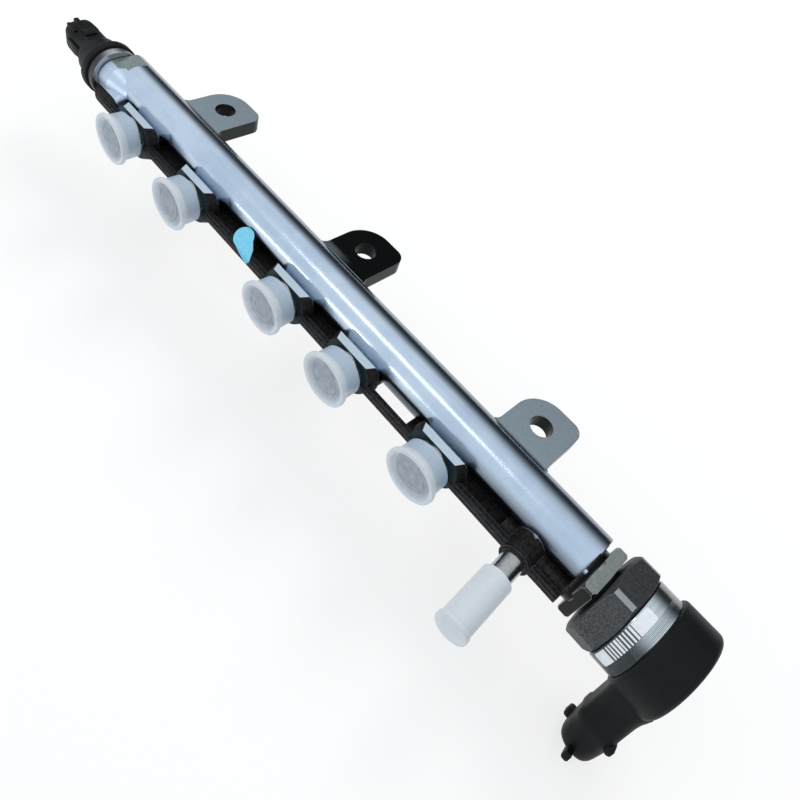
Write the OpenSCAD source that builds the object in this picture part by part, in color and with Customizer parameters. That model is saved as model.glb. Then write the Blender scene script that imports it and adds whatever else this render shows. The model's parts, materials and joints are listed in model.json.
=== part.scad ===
// Common rail of a diesel engine: a forged accumulator tube with five capped injector ports,
// a rail pressure sensor at one end and a solenoid pressure control valve at the other.
// X runs along the rail towards the valve, Y from the rail towards its bolts, Z away from the engine.
// The origin is the middle bolt hole's axis in the plane where the lugs sit on the engine.

/* [Rail tube] */
// Outside diameter of the rail tube
tube_d = 21; // [20:0.5:24]
// Length of the tube from the middle bolt to its sensor end
tube_back = 147.2; // [145:0.2:156]
// Length of the tube from the middle bolt to its valve end
tube_front = 144; // [140:1:150]
// Radius of the boss round the sensor's thread
end_boss_r = 9.5; // [8.6:0.1:10]
// Height of the flat milled on top of the tube at the sensor end
end_flat_z = 9.15; // [8.6:0.05:10]
// Length of the flat at the sensor end
end_flat_len = 10; // [6:0.5:14]
// Diameter of the main bore that stores the fuel
bore_d = 7.8; // [6:0.2:9]
// Distance of the main bore's axis from the tube's axis, towards the ports
bore_offset = 2.6; // [1.5:0.1:3.2]
// Distance of the end fittings' axis from the tube's axis, towards the ports
end_offset = 5.25; // [4.5:0.25:6]

/* [Lugs] */
// Pitch of the three fixing lugs
lug_pitch = 100; // [94:1:106]
// Distance of the bolt holes from the tube's axis
bolt_offset = 20.8; // [19:0.2:24]
// Diameter of the bolt holes
bolt_hole_d = 9; // [8.4:0.1:10.5]
// Thickness of the lugs
lug_t = 6.5; // [4:0.5:8]
// Half width of a lug
lug_half_w = 12; // [10:0.5:14]
// Material beyond the bolt hole's centre, out to the lug's tip
lug_tip = 12.1; // [10:0.1:14]
// Corner radius on the valve side of a lug's tip
lug_corner = 5; // [2:0.5:8]
// Fillet radius where a lug meets the tube
lug_fillet = 3.5; // [1:0.5:5]

/* [Ports] */
// Port positions along the rail, from the middle bolt
port_x = [-111.2, -66.2, -2.4, 36.4, 83.4];
// Depth of the ports' axes below the tube's axis
port_drop = 2.4; // [1.8:0.1:2.5]
// Radius of a port boss where it is widest
boss_r = 13; // [12.4:0.1:13.4]
// Radius of a port boss's neck at the tube
boss_neck_r = 9; // [8.4:0.1:9.6]
// Radius of a port boss at its front face
boss_tip_r = 11.6; // [10.6:0.1:12]
// Distance from the tube's axis at which a boss is widest
boss_wide_y = 13.4; // [12.8:0.1:13.6]
// Distance from the tube's axis to a boss's front face
boss_y = 17.7; // [17:0.1:18.6]
// Height of the flat milled on a boss, above the port's axis
boss_top = 8.3; // [7.8:0.1:8.8]
// Distance from the tube's axis at which the milled flat starts
flat_y = 14.2; // [13.8:0.1:15]
// Outside diameter of a port's threaded nozzle
nozzle_d = 16; // [14:0.5:17]
// Length of a port's threaded nozzle
nozzle_len = 9.8; // [8.6:0.2:11]
// Diameter of the sealing cone's mouth in the nozzle
cone_d = 8.4; // [7:0.2:10]
// Diameter of the throttle insert in a port
throttle_d = 4; // [3:0.2:5]
// Length of the throttle insert
throttle_len = 6; // [4:0.5:7]
// Diameter of the throttle's bore
throttle_bore_d = 0.9; // [0.6:0.1:1.2]
// Diameter of the drilling from the throttle to the main bore
port_bore_d = 2.6; // [2:0.2:3]

/* [Port caps] */
// Outside diameter of a port cap's skirt
cap_d = 19.9; // [19:0.1:22]
// Outside diameter of a port cap's flange
cap_flange_d = 22.5; // [21.5:0.1:25]
// Thickness of a port cap's flange
cap_flange_t = 1.6; // [1:0.1:2.5]
// Thickness of a port cap's end wall
cap_end_t = 0.7; // [0.5:0.1:1.2]
// Depth of the dish in a port cap's front
cap_dish = 0.9; // [0.4:0.1:1.5]
// Gap between a boss's front face and the cap's rim
cap_seat_gap = 2; // [0.6:0.1:2.4]
// Gap between a nozzle's end and the cap's end wall
cap_end_gap = 0.2; // [0.1:0.05:0.5]
// Radial clearance of a cap on its nozzle
cap_clear = 0.15; // [0.05:0.05:0.3]

/* [Rib] */
// Distance from the tube's axis to the rib's outer face
rib_out = 18.6; // [18:0.1:20]
// Width of the rib, across the rail
rib_w = 2.9; // [2:0.1:4]
// Height of the rib's outer face below the tube's axis
rib_low = 6; // [5:0.2:7.5]
// Height of the rib
rib_h = 4; // [3:0.2:6]
// Thickness of the web between the tube and the rib
web_t = 2; // [1.5:0.1:3]
// Clear length of the window between the fourth and fifth ports
window_len = 19; // [12:0.5:20]
// Middle of the window between the fourth and fifth ports
window_x = 57.2; // [56:0.2:59]
// Radius of the forged foot at the sensor end
foot_r = 7.4; // [6.5:0.1:8]
// Length of the forged foot at the sensor end
foot_len = 17; // [12:0.5:18]
// Edge radius of the forged foot
foot_edge = 2.6; // [1:0.2:3]
// Distance of the foot's axis from the tube's axis, towards the ports
foot_y = 10; // [9:0.1:11]
// Depth of the foot's axis below the tube's axis
foot_z = 5.4; // [4.5:0.1:6.5]

/* [Return outlet] */
// Position of the return outlet along the rail
return_x = 125.3; // [120:0.5:130]
// Depth of the return outlet below the tube's axis
return_z = 5; // [4.5:0.1:5.6]
// Lean of the return pipe towards the valve, in degrees
return_lean = 2.8; // [0:0.2:4]
// Outside diameter of the return pipe
return_d = 9; // [8:0.2:10]
// Bore of the return pipe
return_bore_d = 6; // [4:0.5:6.5]
// Length of the return pipe outside the rail
return_len = 21; // [16:0.5:30]
// Outside diameter of the return cap
return_cap_d = 11.8; // [11.4:0.1:14]
// Distance from the rib to the return cap's mouth
return_cap_y = 9.6; // [6:0.2:12]
// Length of the return cap
return_cap_len = 23.8; // [20:0.2:30]
// Diameter of the gallery that feeds the return outlet
gallery_d = 2; // [1.6:0.1:2.2]
// Distance of the gallery from the end fittings' axis
gallery_r = 8.4; // [8.3:0.05:8.5]
// Angle of the gallery round the end fittings' axis, below the ports' direction
gallery_a = 34.8; // [30:0.2:40]
// Radius of the forged wall round the gallery
gallery_wall_r = 3.6; // [2.8:0.1:4]

/* [Valve end] */
// Diameter of the threaded stub that carries the union nut
stub_d = 20; // [20:0.2:20.8]
// Length of the stub from the tube's end
stub_len = 14; // [13:0.5:15]
// Bore of the stub, in which the valve's nose sits
stub_bore_d = 14; // [13.8:0.1:14.2]
// Diameter of the neck between the tube and the square
neck_d = 21.4; // [21:0.1:23]
// Length of the neck between the tube and the square
neck_len = 2; // [1:0.2:3]
// Thickness of the square that a wrench holds
square_t = 4.6; // [3.5:0.1:5]
// Width across the square's flats
square_af = 21; // [21:0.2:22.5]
// Diameter of the square's turned corners
square_corner_d = 29; // [26:0.5:30]
// Width of the union nut across its flats
nut_af = 32; // [30:0.5:34]
// Length of the union nut
nut_len = 10; // [9.5:0.5:11]
// Gap between the square and the union nut
nut_gap = 1.4; // [0.6:0.1:2]
// Thickness of the nut's inner lip
lip_t = 1.3; // [1:0.1:1.6]
// Radial clearance of threads and locating diameters
thread_clear = 0.05; // [0.02:0.01:0.1]

/* [Pressure control valve] */
// Outside diameter of the silver solenoid pot
pot_d = 32.8; // [31:0.2:34]
// Length of the solenoid pot
pot_len = 9; // [8:0.5:10]
// Wall of the solenoid pot
pot_wall = 1.2; // [0.8:0.1:1.5]
// Thickness of the pot's base
pot_base = 2; // [1.5:0.1:2.5]
// Outside diameter of the black solenoid cap
lid_d = 36; // [35:0.2:38]
// Distance from the pot's open end to the cap's end face
lid_len = 19; // [18:0.5:21]
// Edge radius of the black solenoid cap
lid_edge = 2.2; // [1:0.2:3]
// Wall of the black solenoid cap
lid_wall = 2.6; // [2:0.1:2.6]
// Diameter of the ball that closes the valve
ball_d = 3; // [2.8:0.1:3.2]
// Diameter of the pin that holds the ball down
pin_d = 3; // [2.6:0.1:3]
// Diameter of the armature
armature_d = 12; // [11:0.1:12.2]
// Length of the armature
armature_len = 7.4; // [6:0.2:7.6]
// Travel of the armature away from the seat
armature_travel = 0.4; // [0.2:0.05:0.5]
// Radial clearance of moving parts
run_clear = 0.05; // [0.03:0.01:0.08]
// Wire diameter of the armature's spring
spring_wire = 0.7; // [0.5:0.05:0.8]
// Mean diameter of the armature's spring
spring_mean_d = 3.4; // [3.2:0.1:3.6]
// Turns of the armature's spring
spring_turns = 8; // [5:1:9]
// Thickness of the printed label round the pot
label_t = 0.12; // [0.08:0.02:0.2]
// Width of the printed label round the pot
label_w = 6.6; // [4:0.2:7]
// Angle that the label wraps round the pot, in degrees
label_wrap = 190; // [120:5:300]

/* [Valve connector] */
// Direction of the valve's connector round the end axis, in degrees from the lugs' side
plug_a = 240; // [200:2:280]
// Width of the valve's connector along the rail
plug_w = 14.2; // [13:0.2:15]
// Height of the valve's connector
plug_h = 15; // [13:0.5:17]
// Corner radius of the valve's connector
plug_corner = 4; // [1:0.5:5]
// Distance from the end axis to the connector's mouth
plug_reach = 45; // [42:0.5:50]
// Depth of the connector's socket
socket_depth = 14; // [12:0.5:16]
// Wall of a connector's socket
socket_wall = 1.7; // [1.2:0.1:2]
// Width of a connector's blade terminals
blade_w = 2.8; // [1.5:0.1:3]
// Thickness of a connector's blade terminals
blade_t = 0.8; // [0.6:0.1:1]

/* [Pressure sensor] */
// Diameter of the sensor's thread in the rail
sensor_thread_d = 10.5; // [10:0.1:10.6]
// Length of the sensor's thread
sensor_thread_len = 12; // [10:0.5:13]
// Diameter of the passages from the rail's bore to the end fittings
passage_d = 2.8; // [2:0.2:3]
// Diameter of the sensor's bright ring
ring_d = 24; // [23.4:0.2:25.4]
// Thickness of the sensor's bright ring
ring_t = 3.6; // [2.5:0.1:4.5]
// Gap between the tube's end and the bright ring
ring_gap = 0.4; // [0.3:0.1:2]
// Diameter of the sensor connector's flange
flange_d = 26; // [24.4:0.2:27]
// Length of the sensor connector's flange
flange_len = 4.7; // [4.3:0.1:6]
// Diameter of the sensor connector's shoulder
shoulder_d = 19.4; // [19:0.2:20.4]
// Length of the sensor connector's shoulder
shoulder_len = 8.5; // [7:0.5:9.5]
// Width of the sensor's plug body
sensor_plug_w = 14.6; // [14:0.2:15.6]
// Height of the sensor's plug body
sensor_plug_h = 14.2; // [13:0.2:15]
// Length of the sensor's plug body
sensor_plug_len = 16; // [14:0.5:20]
// Diameter of the sensor's measuring cell
cell_d = 9; // [7:0.5:10]
// Length of the sensor's measuring cell
cell_len = 4; // [3:0.5:4.5]
// Thickness of the sensor's circuit board
board_t = 1.2; // [0.8:0.1:1.6]

/* [Tag] */
// Diameter of the round end of the blue tag
tag_d = 9; // [8:0.2:9.4]
// Length of the blue tag along the rail, from its round end's centre to its tail
tag_tail = 10; // [9.5:0.1:11]
// Thickness of the blue tag
tag_t = 0.25; // [0.15:0.05:0.4]

/* [Hidden] */
$fn = 96;
e = 0.01;
far = 60;
tube_r = tube_d / 2;
end_y = -bolt_offset - end_offset;
nozzle_y = boss_y + nozzle_len;
cone_depth = (cone_d - throttle_d) / 2 / tan(30);
throttle_y = nozzle_y - cone_depth - throttle_len - 1;
cap_len = nozzle_len - cap_seat_gap + cap_end_gap + cap_end_t + cap_dish;
// bottom of the notch beside each boss, level with the tube's side
notch_z = 0.5;
end_boss_len = 7;
lug_root_y = sqrt(tube_r * tube_r - lug_t * lug_t);
bead_z = rib_out + return_len - 4;
// stations along the rail at the valve end
square_x = tube_front + neck_len;
nut_x = square_x + square_t + nut_gap;
stub_x = tube_front + stub_len;
flange_t = nut_x + nut_len - lip_t - stub_x - thread_clear;
flange_x = stub_x + thread_clear;
neck_x = flange_x + flange_t;
nut_end = nut_x + nut_len;
pot_x = nut_end + 0.2;
pot_end = pot_x + pot_len;
lid_x = pot_end + 0.1;
lid_end = pot_end + lid_len;
pot_r = pot_d / 2;
pot_in_r = pot_r - pot_wall;
// the valve's nose and what slides in it
floor_x = tube_front + 1;
nose_r = stub_bore_d / 2 - thread_clear;
seat_len = 5.3;
seat_end = floor_x + seat_len;
cone_r = 1.9;
cone_len = 1.0;
throat_r = 0.5;
ball_r = ball_d / 2 - 0.005;
cone_slope = (cone_r - throat_r) / cone_len;
ball_x = seat_end - cone_len
    + (ball_r * sqrt(1 + cone_slope * cone_slope) - throat_r) / cone_slope + 0.01;
body_x = seat_end + 0.05;
chamber_len = 2.85;
pin_x = ball_x + ball_r + 0.02;
spigot_r = stub_bore_d / 2;
armature_r = armature_d / 2;
armature_bore_r = armature_r + run_clear;
armature_room_x = nut_end + 1.5;
armature_x = armature_room_x + 0.5;
core_x = armature_x + armature_len + armature_travel + 0.2;
spigot_end = core_x - 0.3;
pin_seat = 2;
pin_len = armature_x + pin_seat - pin_x;
spring_room_r = spring_mean_d / 2 + spring_wire / 2 + 0.25;
spring_x = armature_x + pin_seat + 0.5;
spring_end = core_x + 6;
coil_x = pot_x + pot_base + 0.2;
lid_cavity_end = lid_end - lid_wall - 1.2;
washer_t = 1.2;
coil_end = lid_cavity_end - washer_t - 0.2;
lid_in_r = pot_in_r;
cross_x = body_x + 1.2;
ring_groove_x = stub_x - 4.2;
ring_groove_len = 3.4;
ring_groove_r = 5.2;
// the sensor's stations, counted back from the tube's end
thread_end_x = -tube_back + sensor_thread_len;
ring_x = -tube_back - ring_gap - ring_t;
flange_back_x = ring_x - 0.1 - flange_len;
shoulder_back_x = flange_back_x - shoulder_len;
sensor_mouth_x = shoulder_back_x - sensor_plug_len;
sensor_socket_len = 12;
cell_x = ring_x - 3;
board_x = cell_x - cell_len - 1.4 - board_t;
sensor_cavity_r = shoulder_d / 2 - 2.3;
// the tag's place on the rib
tag_x = -34;
tag_lean = 35;
tag_mid = tag_d / 2 + 0.7;
silver = [0.66, 0.71, 0.80];
steel = [0.52, 0.54, 0.56];
black = [0.05, 0.05, 0.055];
milky = [0.80, 0.83, 0.86];

// Frames: along the tube's axis, along the end fittings' axis, and out of a port.
module on_tube(x) translate([x, -bolt_offset, 0]) rotate([0, 90, 0]) children();
module on_end(x) translate([x, end_y, 0]) rotate([0, 90, 0]) children();
module on_port(x) translate([x, -bolt_offset, -port_drop]) rotate([90, 0, 0]) children();

// Plain turned shapes
module tube(r_out, r_in, h) difference() {
    cylinder(r = r_out, h = h);
    translate([0, 0, -1]) cylinder(r = r_in, h = h + 2);
}

module rounded_drum(r, h, edge) rotate_extrude() union() {
    square([r - edge, h]);
    translate([0, edge]) square([r, h - 2 * edge]);
    translate([r - edge, edge]) circle(edge);
    translate([r - edge, h - edge]) circle(edge);
}

module rounded_box_2d(w, h, r) union() {
    square([w - 2 * r, h], center = true);
    square([w, h - 2 * r], center = true);
    for (sx = [-1, 1], sy = [-1, 1])
        translate([sx * (w / 2 - r), sy * (h / 2 - r)]) circle(r);
}

// Forged rail
module tube_skin() on_tube(-tube_back) rotate_extrude() polygon([
    [0, 0], [tube_r - 0.5, 0], [tube_r, 0.5],
    [tube_r, tube_back + tube_front - 0.3], [tube_r - 0.3, tube_back + tube_front],
    [0, tube_back + tube_front]]);

// round the sensor's thread, running out into the tube's side
module end_boss() on_end(-tube_back) rotate_extrude() polygon([
    [0, 0], [end_boss_r - 0.5, 0], [end_boss_r, 0.5], [end_boss_r, end_boss_len],
    [tube_r - end_offset - 0.6, end_boss_len + 12], [0, end_boss_len + 12]]);

module sensor_foot() translate([-tube_back, -bolt_offset - foot_y, -foot_z])
    rotate([0, 90, 0]) rounded_drum(foot_r, foot_len, foot_edge);

module gallery_at(x) on_end(x) rotate([0, 0, gallery_a])
    translate([0, -gallery_r, 0]) children();

module port_boss(x) difference() {
    on_port(x) rotate_extrude() polygon([
        [0, 5], [boss_neck_r, 5], [boss_neck_r, boss_wide_y - 3], [boss_r, boss_wide_y],
        [boss_r, boss_wide_y + 0.5], [boss_tip_r, boss_y], [0, boss_y]]);
    // milled top, and the notch between it and the turned tube
    translate([x, -bolt_offset, 0]) rotate([90, 0, -90]) translate([0, 0, -20])
        linear_extrude(40) polygon([
            [-1, notch_z], [tube_r + 0.2, notch_z], [flat_y, boss_top - port_drop],
            [boss_y + 1, boss_top - port_drop], [boss_y + 1, 20], [-1, 20]]);
}

module port_nozzle(x) on_port(x) translate([0, 0, boss_y - 1]) rotate_extrude() polygon([
    [0, 0], [nozzle_d / 2, 0], [nozzle_d / 2, nozzle_len + 0.2],
    [nozzle_d / 2 - 0.8, nozzle_len + 1], [0, nozzle_len + 1]]);

module port_drilling(x) on_port(x) union() {
    translate([0, 0, bore_offset]) cylinder(r = port_bore_d / 2, h = boss_y);
    translate([0, 0, throttle_y]) cylinder(r = throttle_d / 2, h = far);
    translate([0, 0, nozzle_y - cone_depth])
        cylinder(r1 = throttle_d / 2, r2 = cone_d / 2, h = cone_depth + e);
    translate([0, 0, nozzle_y]) cylinder(r = cone_d / 2, h = 1);
}

module rib_bar() translate([-tube_back + foot_len / 2, -bolt_offset, 0]) rotate([90, 0, 90])
    linear_extrude(tube_back - foot_len / 2 + tube_front) polygon([
        [-rib_out, -rib_low + 0.8], [-rib_out + 0.8, -rib_low], [-rib_out + rib_w, -rib_low],
        [-rib_out + rib_w, -rib_low + rib_h], [-rib_out + 1, -rib_low + rib_h],
        [-rib_out, -rib_low + rib_h - 1]]);

module web_floor() difference() {
    translate([-tube_back + foot_len / 2, -bolt_offset - rib_out + 1, -rib_low - 1])
        cube([tube_back - foot_len / 2 + tube_front - 10, rib_out - 7, web_t]);
    translate([window_x, -bolt_offset - rib_out + rib_w, -20]) linear_extrude(40) union() {
        translate([-window_len / 2 + 2, 0]) square([window_len - 4, 20]);
        translate([-window_len / 2, 2]) square([window_len, 20]);
        for (s = [-1, 1]) translate([s * (window_len / 2 - 2), 2]) circle(2);
    }
}

module lug_outline() difference() {
    union() {
        translate([0, -bolt_offset]) square([lug_half_w, bolt_offset + lug_tip - lug_corner]);
        translate([-lug_half_w, -bolt_offset])
            square([lug_half_w, bolt_offset + lug_tip - lug_half_w]);
        square([lug_half_w - lug_corner, lug_tip]);
        translate([lug_half_w - lug_corner, lug_tip - lug_corner]) circle(lug_corner);
        translate([0, lug_tip - lug_half_w]) circle(lug_half_w);
        lug_root_fillet();
        mirror([1, 0]) lug_root_fillet();
    }
    circle(bolt_hole_d / 2);
}

module lug_root_fillet() translate([lug_half_w, -bolt_offset + lug_root_y - 0.6]) difference() {
    translate([-1, -3]) square([lug_fillet + 1, lug_fillet + 3]);
    translate([lug_fillet, lug_fillet]) circle(lug_fillet);
}

module lug(x) translate([x, 0, 0]) linear_extrude(lug_t) lug_outline();

module wrench_square() intersection() {
    on_end(square_x) rotate_extrude() polygon([
        [0, 0], [square_corner_d / 2 - 0.8, 0], [square_corner_d / 2, 0.8],
        [square_corner_d / 2, square_t - 0.8], [square_corner_d / 2 - 0.8, square_t],
        [0, square_t]]);
    translate([square_x - 1, end_y - square_af / 2, -square_af / 2])
        cube([square_t + 2, square_af, square_af]);
}

module stub() union() {
    on_end(tube_front - 0.6) cylinder(r = neck_d / 2, h = neck_len + 1.6);
    on_end(square_x) rotate_extrude() polygon([
        [0, 0], [stub_d / 2, 0], [stub_d / 2, stub_x - square_x - 0.8],
        [stub_d / 2 - 0.8, stub_x - square_x], [0, stub_x - square_x]]);
    wrench_square();
}

module return_frame() translate([return_x, -bolt_offset, -return_z])
    rotate([90, 0, return_lean]) children();

module return_boss() return_frame() translate([0, 0, 8])
    cylinder(r1 = return_d / 2 + 3, r2 = return_d / 2 + 1.6, h = rib_out - 8 + 0.4);

module rail_body() color(silver) difference() {
    union() {
        tube_skin();
        end_boss();
        sensor_foot();
        for (x = port_x) {
            port_boss(x);
            port_nozzle(x);
        }
        rib_bar();
        web_floor();
        for (i = [-1, 0, 1]) lug(i * lug_pitch);
        gallery_at(return_x - 10) cylinder(r = gallery_wall_r, h = tube_front - return_x + 10);
        return_boss();
        stub();
    }
    // flat on top of the sensor end
    translate([-tube_back - 1, -bolt_offset - 20, end_flat_z]) cube([end_flat_len + 1, 40, 20]);
    // main bore, open into the stub at the valve end
    on_tube(0) translate([0, -bore_offset, -tube_back + sensor_thread_len + 14])
        cylinder(r = bore_d / 2, h = tube_back - sensor_thread_len - 14 + floor_x + 1);
    for (x = port_x) port_drilling(x);
    // sensor's thread, its sealing seat and the passage to the bore
    on_end(-tube_back - 1) cylinder(r = sensor_thread_d / 2, h = sensor_thread_len + 1);
    on_end(thread_end_x - e)
        cylinder(r1 = sensor_thread_d / 2, r2 = passage_d / 2, h = 2.4);
    on_end(thread_end_x) cylinder(r = passage_d / 2, h = 20);
    // stub's bore and the return gallery
    on_end(floor_x) cylinder(r = stub_bore_d / 2, h = far);
    gallery_at(return_x - 2) cylinder(r = gallery_d / 2, h = cross_x - return_x + 2);
    on_end(cross_x) rotate([0, 0, gallery_a]) rotate([90, 0, 0])
        cylinder(r = gallery_d / 2, h = gallery_r + gallery_d / 2);
    return_frame() translate([0, 0, 10.6]) cylinder(r = return_bore_d / 2, h = far);
    return_frame() translate([0, 0, 13]) cylinder(r = return_d / 2 + 0.02, h = far);
}

// Caps on the ports
module port_cap(i) color(milky) on_port(port_x[i]) translate([0, 0, boss_y + cap_seat_gap])
    rotate_extrude() polygon([
        [nozzle_d / 2 + cap_clear + 0.4, 0], [cap_d / 2 - 0.3, 0], [cap_d / 2, 0.3],
        [cap_d / 2, cap_len - cap_flange_t], [cap_flange_d / 2 - 0.2, cap_len - cap_flange_t],
        [cap_flange_d / 2, cap_len - cap_flange_t + 0.3], [cap_flange_d / 2, cap_len - 0.4],
        [cap_flange_d / 2 - 0.4, cap_len], [nozzle_d / 2 + 0.4, cap_len],
        [nozzle_d / 2, cap_len - cap_dish], [0, cap_len - cap_dish],
        [0, cap_len - cap_dish - cap_end_t],
        [nozzle_d / 2 + cap_clear, cap_len - cap_dish - cap_end_t],
        [nozzle_d / 2 + cap_clear, 0.6]]);

// Throttle pressed into each port
module throttle(i) color(steel) on_port(port_x[i]) translate([0, 0, throttle_y])
    tube(throttle_d / 2, throttle_bore_d / 2, throttle_len);

// Return outlet
module return_pipe() color(steel) return_frame() difference() {
    union() {
        translate([0, 0, 13]) cylinder(r = return_d / 2, h = rib_out + return_len - 13);
        translate([0, 0, bead_z]) cylinder(r1 = return_d / 2, r2 = return_d / 2 + 0.35, h = 1);
        translate([0, 0, bead_z + 1])
            cylinder(r1 = return_d / 2 + 0.35, r2 = return_d / 2, h = 1.4);
    }
    translate([0, 0, 12]) cylinder(r = return_bore_d / 2, h = far);
}

module return_cap() color(milky) return_frame() translate([0, 0, rib_out + return_cap_y])
    difference() {
        union() {
            cylinder(r = return_cap_d / 2, h = return_cap_len - 2);
            translate([0, 0, return_cap_len - 2.4])
                rounded_drum(return_cap_d / 2 + 0.5, 2.4, 0.6);
        }
        translate([0, 0, -1]) cylinder(r = return_d / 2 + 0.4, h = return_cap_len - 0.5);
    }

// Tag slipped over the rib, leaning on the tube
module blue_tag() color([0.35, 0.75, 0.9])
    translate([tag_x, -bolt_offset - rib_out, -rib_low + rib_h - 0.55]) rotate([tag_lean, 0, 0])
    linear_extrude(tag_t) union() {
        translate([0, tag_mid]) circle(tag_d / 2);
        polygon([[-0.5, tag_mid - tag_d / 2 + 0.1], [4, -0.4], [tag_tail - 0.6, -1.5],
            [tag_tail, 0.1], [tag_tail - 2.8, 4.5], [3.6, tag_mid + 2.2], [0, tag_mid]]);
    }

// Rail pressure sensor
module sensor_body() color(steel) on_end(0) rotate_extrude() polygon([
    [passage_d / 2, thread_end_x + 1.9], [passage_d / 2 + 0.35, thread_end_x + 1.9],
    [sensor_thread_d / 2 - 0.4, thread_end_x - 0.4],
    [sensor_thread_d / 2 - thread_clear, thread_end_x - 0.9],
    [sensor_thread_d / 2 - thread_clear, -tube_back - 0.02],
    [end_boss_r - 1.3, -tube_back - 0.02],
    [end_boss_r - 1.3, ring_x + ring_t],
    [ring_d / 2 - 0.3, ring_x + ring_t], [ring_d / 2, ring_x + ring_t - 0.3],
    [ring_d / 2, ring_x + 0.3], [ring_d / 2 - 0.3, ring_x], [cell_d / 2 + 2, ring_x],
    [cell_d / 2 + 2, cell_x], [passage_d / 2, cell_x]]);

module sensor_cell() color(silver) on_end(cell_x - cell_len - 0.02) difference() {
    cylinder(r = cell_d / 2, h = cell_len);
    translate([0, 0, 0.5]) cylinder(r = passage_d / 2, h = cell_len);
}

module sensor_board() color([0.1, 0.35, 0.2]) on_end(board_x)
    cylinder(r = sensor_cavity_r - 0.15, h = board_t);

module sensor_plug_outer() on_end(sensor_mouth_x) union() {
    linear_extrude(sensor_plug_len + 1)
        rounded_box_2d(sensor_plug_h, sensor_plug_w, 3);
    // latch nub on the side away from the engine
    translate([-sensor_plug_h / 2 - 1.4, -3, 6]) cube([3, 6, 5]);
    // coding ribs at the mouth
    translate([-sensor_plug_h / 2 - 1.2, sensor_plug_w / 2 - 4.2, -3.6]) cube([2.6, 2.4, 6]);
    translate([-sensor_plug_h / 2 - 0.8, -sensor_plug_w / 2 + 1.5, 0]) cube([2.6, 2, 9]);
}

module sensor_connector() color(black) difference() {
    union() {
        on_end(0) rotate_extrude() polygon([
            [0, shoulder_back_x], [shoulder_d / 2 - 1, shoulder_back_x],
            [shoulder_d / 2, shoulder_back_x + 1], [shoulder_d / 2, flange_back_x],
            [flange_d / 2 - 0.8, flange_back_x], [flange_d / 2, flange_back_x + 0.8],
            [flange_d / 2, ring_x - 0.1], [0, ring_x - 0.1]]);
        sensor_plug_outer();
    }
    on_end(board_x - 0.6) cylinder(r = sensor_cavity_r, h = far);
    on_end(sensor_mouth_x - 5) linear_extrude(sensor_socket_len + 5)
        rounded_box_2d(sensor_plug_h - 2 * socket_wall, sensor_plug_w - 2 * socket_wall, 1.8);
    for (k = [-1, 0, 1]) sensor_blade(k, 0.03);
}

module sensor_blade(k, clear = 0) on_end(sensor_mouth_x + 3 - 2 * clear)
    translate([-blade_t / 2 - clear, k * 3.6 - 0.9 - clear, 0])
    cube([blade_t + 2 * clear, 1.8 + 2 * clear, board_x - sensor_mouth_x - 3 + 4 * clear]);
module sensor_terminal(k) color([0.8, 0.7, 0.4]) sensor_blade(k);

// Union nut
module union_nut() color(steel) difference() {
    intersection() {
        on_end(nut_x) rotate([0, 0, 22]) cylinder(r = nut_af / 2 / cos(30), h = nut_len, $fn = 6);
        on_end(nut_x) rotate_extrude() polygon([
            [0, 0], [nut_af / 2 - 0.2, 0], [nut_af / 2 / cos(30) + 0.1, 1.6],
            [nut_af / 2 / cos(30) + 0.1, nut_len - 1.6], [nut_af / 2 - 0.2, nut_len],
            [0, nut_len]]);
    }
    on_end(nut_x - 1) cylinder(r = stub_d / 2 + thread_clear, h = nut_len - lip_t + 1);
    on_end(nut_x - 1) cylinder(r = stub_d / 2 - 1.4, h = nut_len + 2);
}

// Pressure control valve
module valve_seat() color(steel) on_end(floor_x + 0.02) rotate_extrude() polygon([
    [bore_d / 2 - 0.9, 0], [nose_r, 0], [nose_r, seat_len - 0.02],
    [cone_r, seat_len - 0.02], [throat_r, seat_len - cone_len - 0.02],
    [throat_r, 2.4], [bore_d / 2 - 0.9, 2.4]]);

module valve_ball() color(silver) on_end(ball_x) sphere(r = ball_r);

module valve_pin() color(silver) on_end(pin_x) cylinder(r = pin_d / 2 - run_clear, h = pin_len);

module valve_body() color(steel) difference() {
    on_end(0) rotate_extrude() polygon([
        [ball_r + 1.1, body_x], [nose_r, body_x], [nose_r, cross_x - 0.9],
        [6, cross_x - 0.9], [6, cross_x + 0.9], [nose_r, cross_x + 0.9],
        [nose_r, ring_groove_x], [ring_groove_r, ring_groove_x],
        [ring_groove_r, ring_groove_x + ring_groove_len],
        [nose_r, ring_groove_x + ring_groove_len], [nose_r, flange_x],
        [stub_d / 2 - 0.2, flange_x], [stub_d / 2 - 0.2, neck_x - 0.05],
        [stub_d / 2 - 1.5, neck_x - 0.05], [stub_d / 2 - 1.5, nut_end + 0.15],
        [spigot_r, nut_end + 0.15], [spigot_r, spigot_end], [armature_bore_r, spigot_end],
        [armature_bore_r, armature_room_x], [pin_d / 2, armature_room_x],
        [pin_d / 2, body_x + chamber_len], [ball_r + 1.1, body_x + chamber_len]]);
    for (a = [0, 90]) on_end(cross_x) rotate([0, 0, gallery_a + a]) rotate([90, 0, 0])
        translate([0, 0, -10]) cylinder(r = 0.6, h = 20);
}

module nose_seal_ring() color(black) on_end(ring_groove_x + 1.2) rotate_extrude()
    translate([(ring_groove_r + stub_bore_d / 2) / 2, 0])
    circle((stub_bore_d / 2 - ring_groove_r) / 2 - 0.01);

module backup_ring() color([0.85, 0.8, 0.7]) on_end(ring_groove_x + ring_groove_len - 1.1)
    tube(stub_bore_d / 2 - 0.03, ring_groove_r + 0.03, 1);

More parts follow.
